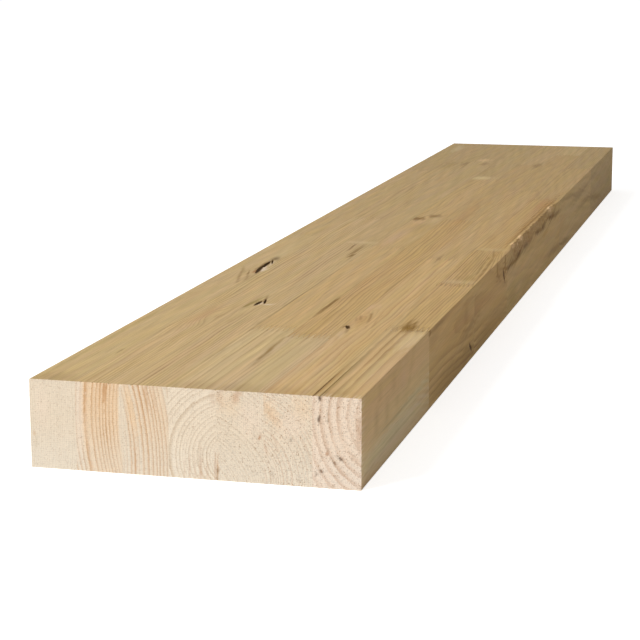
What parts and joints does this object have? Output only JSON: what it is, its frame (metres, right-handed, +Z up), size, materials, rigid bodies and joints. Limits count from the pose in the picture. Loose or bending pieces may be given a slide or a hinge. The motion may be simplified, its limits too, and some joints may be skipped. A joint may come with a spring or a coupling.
{
  "type": "laminated timber plank",
  "caption": "Thick laminated softwood plank of staves glued edge to edge, each made of finger-jointed blocks, for carrying loads as a beam, tread, shelf or worktop.",
  "frame": {"origin": "middle of the underside", "axes": "+Y along the grain from the front end to the back end, +X across the plank to the right seen from the front end, +Z up out of the top face"},
  "size_m": [0.224, 1.5, 0.06],
  "materials": {
    "pale_sapwood": "planed, unfinished",
    "honey_pine": "planed, unfinished",
    "red_heartwood": "planed, unfinished"
  },
  "bodies": {
    "root": {"stave_1_block_1": "pale_sapwood", "stave_1_block_2": "pale_sapwood", "stave_1_block_3": "pale_sapwood", "stave_2_block_1": "red_heartwood", "stave_2_block_2": "pale_sapwood", "stave_2_block_3": "pale_sapwood", "stave_3_block_1": "red_heartwood", "stave_3_block_2": "honey_pine", "stave_3_block_3": "pale_sapwood", "stave_4_block_1": "pale_sapwood", "stave_4_block_2": "honey_pine", "stave_4_block_3": "honey_pine", "stave_4_block_4": "pale_sapwood", "stave_5_block_1": "pale_sapwood", "stave_5_block_2": "honey_pine", "stave_5_block_3": "honey_pine", "stave_5_block_4": "pale_sapwood", "stave_6_block_1": "honey_pine", "stave_6_block_2": "honey_pine", "stave_6_block_3": "honey_pine", "stave_6_block_4": "pale_sapwood", "stave_7_block_1": "pale_sapwood", "stave_7_block_2": "red_heartwood", "stave_7_block_3": "red_heartwood", "stave_7_block_4": "red_heartwood", "stave_7_block_5": "honey_pine", "stave_7_block_6": "pale_sapwood"}
  },
  "joints": []
}
